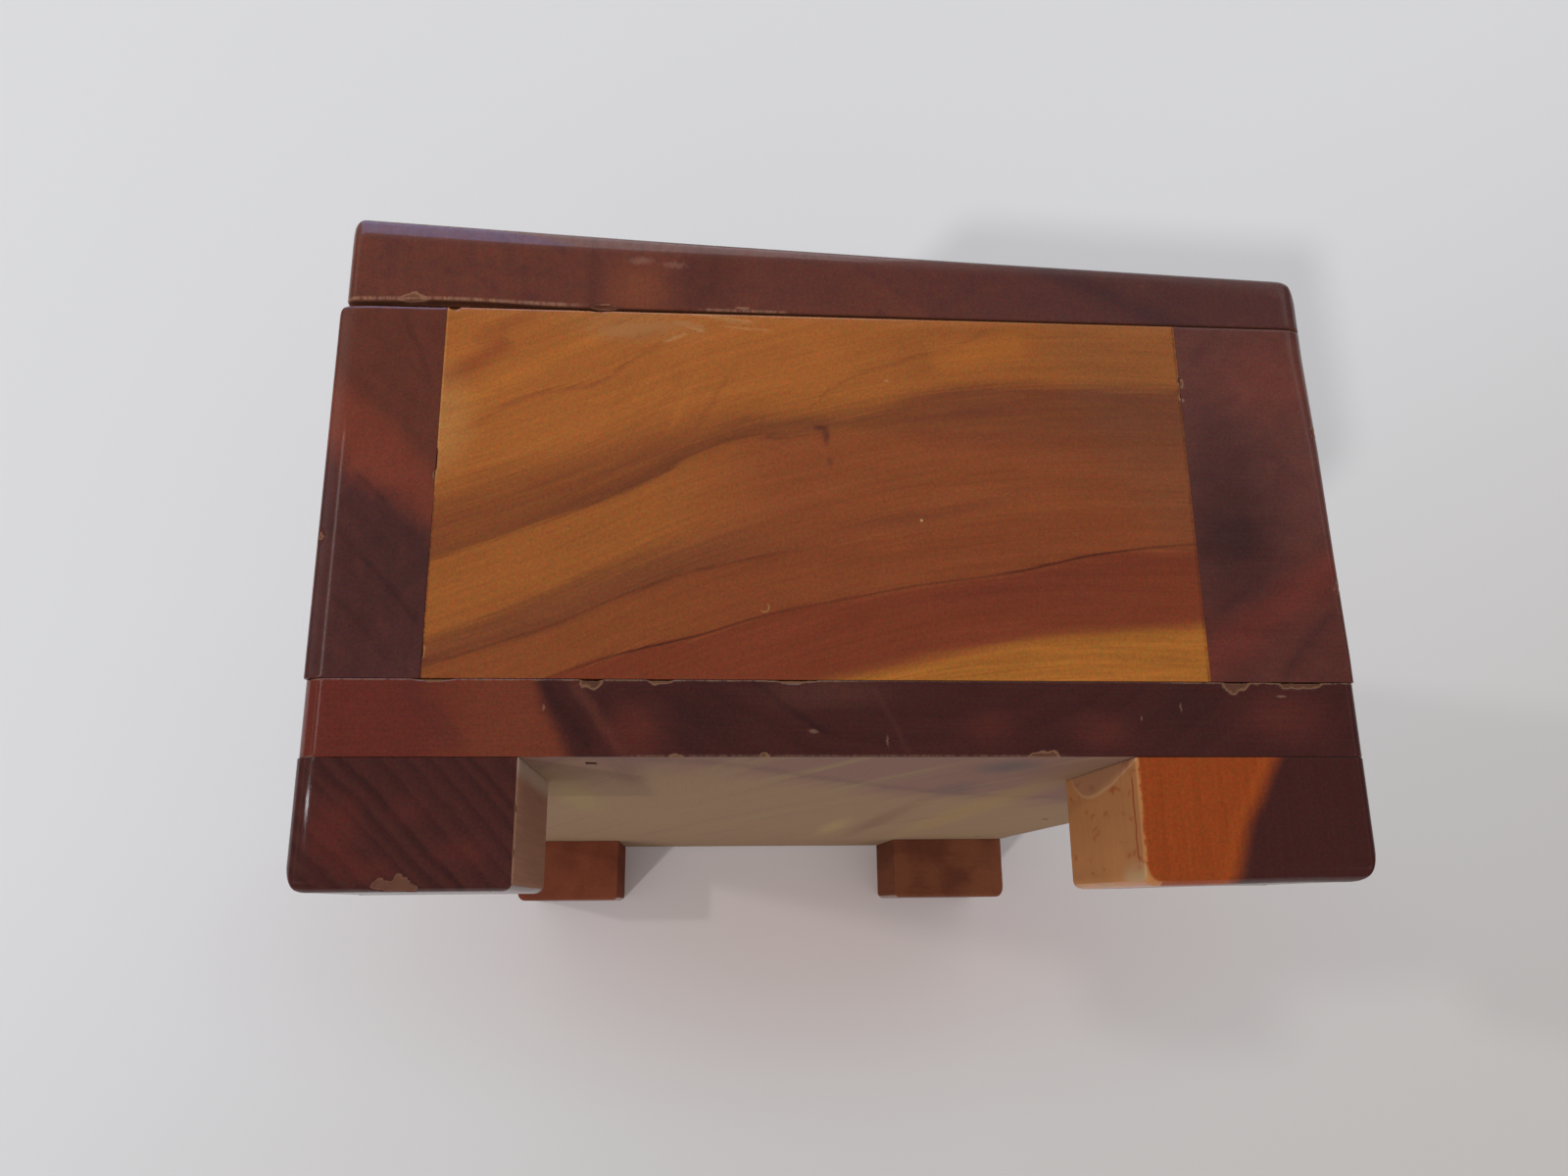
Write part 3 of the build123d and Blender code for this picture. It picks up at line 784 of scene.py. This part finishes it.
for centre, reach, share, tint in (
    ((62.0, 7.5), (2.4, 4.2), 0.6, (92, 88, 88)),
    ((61.5, 29.0), (2.0, 6.0), 0.4, (96, 82, 84)),
    ((70.0, 60.0), (2.6, 50.0), 0.45, (160, 130, 80)),
    ((19.5, 40.0), (2.2, 18.0), 0.4, (158, 136, 88)),
    ((55.0, 92.0), (1.6, 16.0), 0.5, (168, 146, 96)),
    ((60.5, 80.0), (1.6, 30.0), 0.4, (118, 82, 66)),
    ((26.5, 12.0), (1.4, 10.0), 0.35, (116, 84, 80)),
):
    raw_colour = painted(raw_colour, spot(y + drawn * 0.5, x, centre, reach, 0.8) * share, *tint)
below = (1 - rise(z, base_under + 0.06, base_under + 0.12)) * inside(x)
below = below * rise(y, 0.0, 0.1) * (1 - rise(y, 91.9, 92.0))
raw = below.math("MAXIMUM", rise(z, 17.45, 17.5) * ridge(y - 44, 34, 1) * ridge(x - 76.5, 66, 1))
varnished(colour, fibre * 0.004 - late * 0.002, paint(122, 88, 66), raw, shade(raw_colour, 1 + fibre * 0.04))
base_chips = [
    (10.4, 17.45, 2.0, 0.3, 0, 0.1),
    (24.0, 17.4, 1.2, 0.9, 0, 0.15),
    (29.8, 17.4, 1.6, 0.4, 0, 0.12),
    (41.4, 17.4, 2.4, 0.3, 0, 0.1),
    (81.4, 17.4, 1.8, 0.8, 0, 0.14),
    (87.4, 17.4, 2.8, 0.55, 0, 0.14),
    (31.3, 10.85, 0.7, 0.25, 0, 0.12),
    (38.8, 10.85, 0.5, 0.35, 0, 0.14),
    (63.4, 10.85, 1.2, 0.35, 0, 0.14),
]


def base_upright(x, y, z):
    """The near corners are sanded, the front one more."""
    return np.where(x < 50, np.where(y < 46, 1.45, 1.1), 1.4)


brad_holes = [(place - brad_half, place + brad_half, base_under + brad_sunk)
              for place in np.array(brad_places)]
wooden("base_board", "base_wood", "case", (4.0, 0.28, 0.3), base_upright,
       lambda x, y, z, across: 0.14 + 0 * x, 51, base_chips, brad_holes, level=worn_corner)

# Feet. Four blocks sawn from offcuts of dark and orange wood and glued under the corners of the base. They
# are varnished outside and raw on their inner sides, where the near back one has a bead of glue.


def inner_sides(node, x, y):
    """1 on the two inner sides of a foot, which are raw."""
    low, high = seen(node)
    side = rise(y, high[1] - 0.2, high[1] - 0.1) if low[1] < 40 else 1 - rise(y, low[1] + 0.1, low[1] + 0.2)
    return side.math("MAXIMUM", rise(x, high[0] - 0.2, high[0] - 0.1) if low[0] < 50 else
                     1 - rise(x, low[0] + 0.1, low[0] + 0.2))


def foot(node, seed, corner=1.3, chips=(), level=None):
    """A block foot, its outer corner and heel sanded round, its inner edges just broken."""
    low, high = seen(node)
    middle = (low + high) / 2
    near, front = low[0] < 50, low[1] < 40

    def upright(x, y, z):
        """Round at the box's corner alone."""
        return np.where(((x < middle[0]) == near) & ((y < middle[1]) == front), corner, 0.2)

    def rim(x, y, z, across):
        """Round along the outer sides of the sole."""
        end = np.where((x < middle[0]) == near, 1.1 + 0.5 * (y > 60), 0.7)
        side = np.where((y < middle[1]) == front, 2.2 + 0.8 * (y > 60), 1.0)
        return np.where(z < middle[2], end * across + side * (1 - across), 0.1)

    wooden(node, node + "_wood", "case", (0.5, 0.28, 0.3), upright, rim, seed, chips, level=level)


x, y, z = material("foot_front_right_wood")
sway, fibre = along_grain(x, y, z, 24.0)
late = rings((y * 0.85 + z) * 0.76 + sway * 0.35 + y * y * 0.006, 1.6, 25.0)
colour = blend(late * 0.42, paint(72, 38, 34), paint(36, 21, 23))
for centre, reach, share in (((3.4, 4.6), (2.0, 2.6), 0.4), ((9.5, 6.5), (1.4, 1.0), 0.2),
                             ((14.5, 3.2), (1.8, 1.2), 0.25), ((6.0, 1.6), (2.4, 0.9), 0.3)):
    colour = painted(colour, spot(y + sway, z + sway * 0.5, centre, reach, 0.85) * share, 108, 46, 38)
colour = shade(colour, 1 + fibre * 0.07 + sway * 0.05)
raw_colour = shade(paint(142, 102, 82), 1 + fibre * 0.1 + sway * 0.08)
raw_colour = painted(raw_colour, rise(z + sway * 0.6, 8.6, 9.8) * 0.35, 186, 172, 156)
varnished(colour, fibre * 0.004 - late * 0.002, paint(110, 74, 60), inner_sides("foot_front_right", x, y),
          raw_colour, 0.25)
foot_chips = [
    (8.5, -0.1, 2.3, 1.15, 0, 0.3),
    (18.1, 6.6, 0.15, 0.4, 0, 0.12),
    (18.1, 3.0, 0.15, 0.5, 0, 0.1),
]
foot("foot_front_right", 61, 0.9, foot_chips, worn_corner)


def heel(points):
    """Where points would lie if the sole of the back foot did not rise by 0.2 mm towards the back."""
    x, y, z = points.T
    return np.column_stack([x, y, z - 0.22 * between(y, 73, 88) * (1 - between(z, 2, 8))])


x, y, z = material("foot_back_right_wood")
sway, fibre = noise(x, y, z, (12, 4, 4), 2.0, 26.0), noise(x, y, z, (0.3, 0.3, 6), 3.0, 27.0, 0.6)
stripes = noise(x, y, z, (0.8, 0.42, 14), 2.0, 28.0)
border = y - height_at(z + 10, [(10, 79.5), (14, 80.6), (17.5, 82.4), (21, 84.4)]) + sway * 0.12
heart = rise(border, -1.0, 1.0)
colour = blend(heart, shade(paint(141, 64, 26), 1 + stripes * 0.08 + fibre * 0.04),
               shade(paint(66, 34, 31), 1 + stripes * 0.06))
colour = painted(colour, ridge(border + 1.2, 0.3, 1.4) * 0.25, 170, 84, 32)
speck = rise(noise(x, y, z, (2.4, 2.0, 1.1), 2.0, 29.0), 0.35, 1.0)
raw_colour = blend(speck * 0.6, shade(paint(166, 112, 70), 1 + fibre * 0.06 + sway * 0.1), paint(140, 62, 36))
bead_line = height_at(x, [(0, 10.6), (3.7, 9.6), (7.1, 8.9), (13.9, 8.5), (16.6, 9.3), (18, 10.6)])
bead = z - bead_line - sway * 0.2
raw_colour = painted(raw_colour, rise(bead, 0, 0.4) * 0.5, 146, 108, 88)
raw_colour = painted(raw_colour, ridge(bead, 0.1, 0.4) * 0.6, 184, 150, 116)
drips = ridge(x - 1.2 - noise(z, z, z, (3, 3, 3), 1.0, 30.0) * 0.25, 0.2, 0.3) * ridge(z - 5.6, 3.6, 1.0)
raw_colour = painted(raw_colour, drips * 0.75, 136, 58, 36)
pale_foot = (1 - rise(z + sway * 0.5, 0.6, 2.4)) * ridge(x - 1, 4, 3)
raw_colour = painted(raw_colour, pale_foot * 0.5, 176, 156, 120)
worn_round = rise(distance(y - 73.0, z - 1.6) + sway * 0.2, 1.3, 1.6)
worn_round = worn_round * (1 - rise(y, 72.9, 73.0)) * (1 - rise(z, 1.5, 1.6))
# A pale line along the foot's inner edge is a painted highlight; the pale round by the sole is wear.
pale_wear_and_painted_highlight = (ragged_edge(x, z, y, 71.45, 0.3, 39.0) * 0.8).math("MAXIMUM", worn_round * 0.8)
colour = painted(colour, pale_wear_and_painted_highlight, 186, 126, 74)
colour = painted(colour, ragged_edge(x, y, z, 0.1, 0.3, 40.0) * (1 - rise(y, 73, 76)) * 0.7, 170, 110, 66)
varnished(colour, fibre * 0.003 + stripes * 0.002, paint(170, 128, 84), inner_sides("foot_back_right", x, y),
          raw_colour, 0.1)
foot("foot_back_right", 62, 1.0, (), heel)

for node, seed, light, dark in (("foot_front_left", 63, paint(112, 60, 42), paint(96, 51, 36)),
                                ("foot_back_left", 64, paint(110, 64, 44), paint(90, 50, 36))):
    x, y, z = material(node + "_wood")
    sway, fibre = along_grain(x, y, z, float(seed))
    layers = noise(x, y, z, (9, 5, 0.5), 3.0, float(seed) + 1)
    colour = shade(blend(rise(sway + layers * 0.3, -0.6, 0.8), light, dark), 1 + fibre * 0.07 + layers * 0.06)
    varnished(colour, fibre * 0.004, paint(140, 100, 78), inner_sides(node, x, y),
              shade(colour, 1.1 + fibre * 0.05))
    foot(node, seed)

# Hinges. Two brass butt hinges, stamped from sheet, their knuckles rolled round a brass pin, screwed on with
# countersunk brass screws, and a little tarnished. The brads' steel has gone dark in the cedar.


def metal(name, light, dark, roughness):
    """A metal that is tarnished in patches."""
    x, y, z = material(name)
    tarnish = rise(noise(x, y, z, (5, 4, 4), 3.0, 32.0), -0.6, 1.2)
    x.node("OutputMaterial", (), {"Surface": x.node("BsdfPrincipled", (), {
        "Base Color": blend(tarnish * 0.5, light, dark),
        "Metallic": 1.0,
        "Roughness": tarnish * 0.2 + noise(x, y, z, (6, 0.3, 0.3), 2.0, 33.0) * 0.02 + roughness,
    })})
    return bpy.data.materials[name + "_look"]


def dress(node, look):
    """Gives a CAD node its material."""
    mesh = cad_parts[node].data
    mesh.materials.clear()
    mesh.materials.append(look)


brass = metal("hinge_brass", paint(206, 168, 104), paint(140, 104, 60), 0.28)
wire = metal("pin_brass", paint(200, 160, 98), paint(132, 98, 56), 0.25)
screw = metal("screw_brass", paint(216, 180, 116), paint(150, 114, 68), 0.25)
for side in ("left", "right"):
    for part, look in (("case_leaf", brass), ("lid_leaf", brass), ("pin", wire), ("case_screws", screw),
                       ("lid_screws", screw)):
        dress(f"{side}_hinge_{part}", look)
dress("base_brads", metal("brad_steel", paint(92, 80, 74), paint(48, 38, 36), 0.5))

# Stage. The pale table that the far end stands on, hidden from behind so that the box can be seen from
# there, and the windows, the bright wall and the bulb that the varnish alone shows.


def sheet(name, corners, surface):
    """A flat sheet of the stage, facing the side from which its corners run anticlockwise."""
    mesh = bpy.data.meshes.new(name)
    mesh.from_pydata(corners, [], [(0, 1, 2, 3)])
    look = bpy.data.materials.new(name)
    start = blank(look)
    start.node("OutputMaterial", (), {"Surface": surface(start)})
    mesh.materials.append(look)
    made = added(name, mesh)
    made.visible_camera = made.visible_diffuse = name == "table"


def glow(colour, strength):
    """The surface of a window: light on the side that it faces."""
    return lambda start: start.node("MixShader", (), {
        0: start.node("NewGeometry", (), (), "Backfacing"),
        1: start.node("Emission", (), {"Color": colour, "Strength": strength}),
        2: start.node("BsdfTransparent"),
    })


def upright_pane(centre, half_width, half_height):
    """The corners of an upright pane that faces the box."""
    away = Vector(centre)
    side = away.cross((0, 0, 1)).normalized() * half_width
    up = side.cross(away).normalized() * half_height
    return [away - side - up, away + side - up, away + side + up, away - side + up]


def table_top(start):
    """White laminate, greyer away from the light, with a painted reddish shade near the foot of the box,
    where the box shades the table and its wood casts its colour on it. It lets through what comes from behind
    it and the short rays of pieces that touch it."""
    close = 1 - rise(start.node("LightPath", (), (), "Ray Length"), 0.001, 0.002)
    place = start.node("TexCoord", (), (), "Object")
    across, up = (start.node("SeparateXYZ", (), {0: place}, axis) * 1000 for axis in (1, 2))
    colour = blend(rise(across * 0.6 - up, -130, 170), paint(226, 227, 230), paint(202, 199, 197))
    # A painted shade with painted reddish bounce light on the table, round the box.
    colour = painted(colour, spot(across, up, (15, -6), (80, 24), 0.9) * 0.55, 198, 176, 172)
    return start.node("MixShader", (), {
        0: close.math("MAXIMUM", start.node("NewGeometry", (), (), "Backfacing")),
        1: start.node("BsdfDiffuse", (), {"Color": colour}),
        2: start.node("BsdfTransparent"),
    })


table_x = cad_box[0].x - 0.0002
sheet("table", [(table_x, y, z) for y, z in ((-3, -3), (3, -3), (3, 3), (-3, 3))], table_top)
for name, near_y, far_y, colour, strength in (("window_behind", -0.60, -0.14, (0.42, 0.56, 1.0, 1.0), 4.2),
                                              ("wall_behind", -0.14, 0.16, (1.0, 0.94, 0.96, 1.0), 2.5)):
    sheet(name, [(x, y, 0.85) for x, y in ((0.0, near_y), (0.0, far_y), (0.86, far_y), (0.86, near_y))],
          glow(colour, strength))
sheet("window_beside", upright_pane((0.70, -0.466, 0.215), 0.010, 0.115), glow((1.0, 0.86, 0.86, 1.0), 4.0))
sheet("bulb", upright_pane((0.69, -0.475, 0.068), 0.014, 0.003), glow((0.92, 0.96, 1.0, 1.0), 60.0))

# The room. It is pale all round for the table and the wood, but where the varnish reflects it, it is dark
# over the near end, below the box and on both sides.
world = bpy.data.worlds.new("room")
bpy.context.scene.world = world
start = blank(world)
camera_ray, glossy_ray, clear_ray = (start.node("LightPath", (), (), f"Is {kind} Ray")
                                     for kind in ("Camera", "Glossy", "Transmission"))
way = start.node("TexCoord", (), (), "Generated")
way_x, way_y, way_z = (start.node("SeparateXYZ", (), {0: way}, axis) for axis in range(3))
aside = way_x.math("MAXIMUM", way_y.math("ABSOLUTE")).math("MAXIMUM", way_z * -1.5)
dim = rise(aside, 0.66, 0.78) * glossy_ray
ambient = blend(camera_ray + glossy_ray + clear_ray, (0.97, 0.96, 0.96, 1.0), (1.0, 1.0, 1.0, 1.0))
start.node("OutputWorld", (), {"Surface": start.node("Background", (), {
    "Color": blend(dim, ambient, (0.05, 0.05, 0.06, 1.0)),
    "Strength": 0.69,
})})


def lamp(name, kind, energy, size, place):
    """A soft lamp whose shadow shows on the table in the photograph: a distant one, as wide as an angle of
    size in the direction of place, or a near one at place, whose radius is size. The varnish shows the
    windows alone."""
    light = bpy.data.lights.new(name, kind)
    light.energy = energy
    if kind == "SUN":
        light.angle = size
    else:
        light.shadow_soft_size = size
    made = added(name, light)
    made.rotation_mode = "QUATERNION"
    made.rotation_quaternion = Vector(place).to_track_quat("Z", "Y")
    made.location = place
    made.visible_glossy = False


lamp("lamp_low", "SUN", 0.66, math.radians(3), (0.735, -0.47, -0.49))
lamp("lamp_high", "POINT", 6.2, 0.03, (0.84, -0.72, 0.158))

# Camera. Close above the near end, and looking down on it and at the raw underside between the feet. Its
# place, its turn and its lens are those that put the corners of the box where the photograph has them.
camera = added("camera", bpy.data.cameras.new("camera"))
right, up = np.array([0.07194, 0.99737, -0.00893]), np.array([0.26293, -0.01033, 0.96476])
turn = np.stack([right, up, np.cross(right, up)], axis=1)
camera.matrix_world = Matrix.Translation((0.17628, -0.0139, -0.00134)) @ Matrix(turn.tolist()).to_4x4()
camera.data.sensor_width = 36.0
camera.data.lens = 26.775
camera.data.clip_start = 0.005
bpy.context.scene.camera = camera
bpy.context.scene.view_settings.view_transform = "Standard"
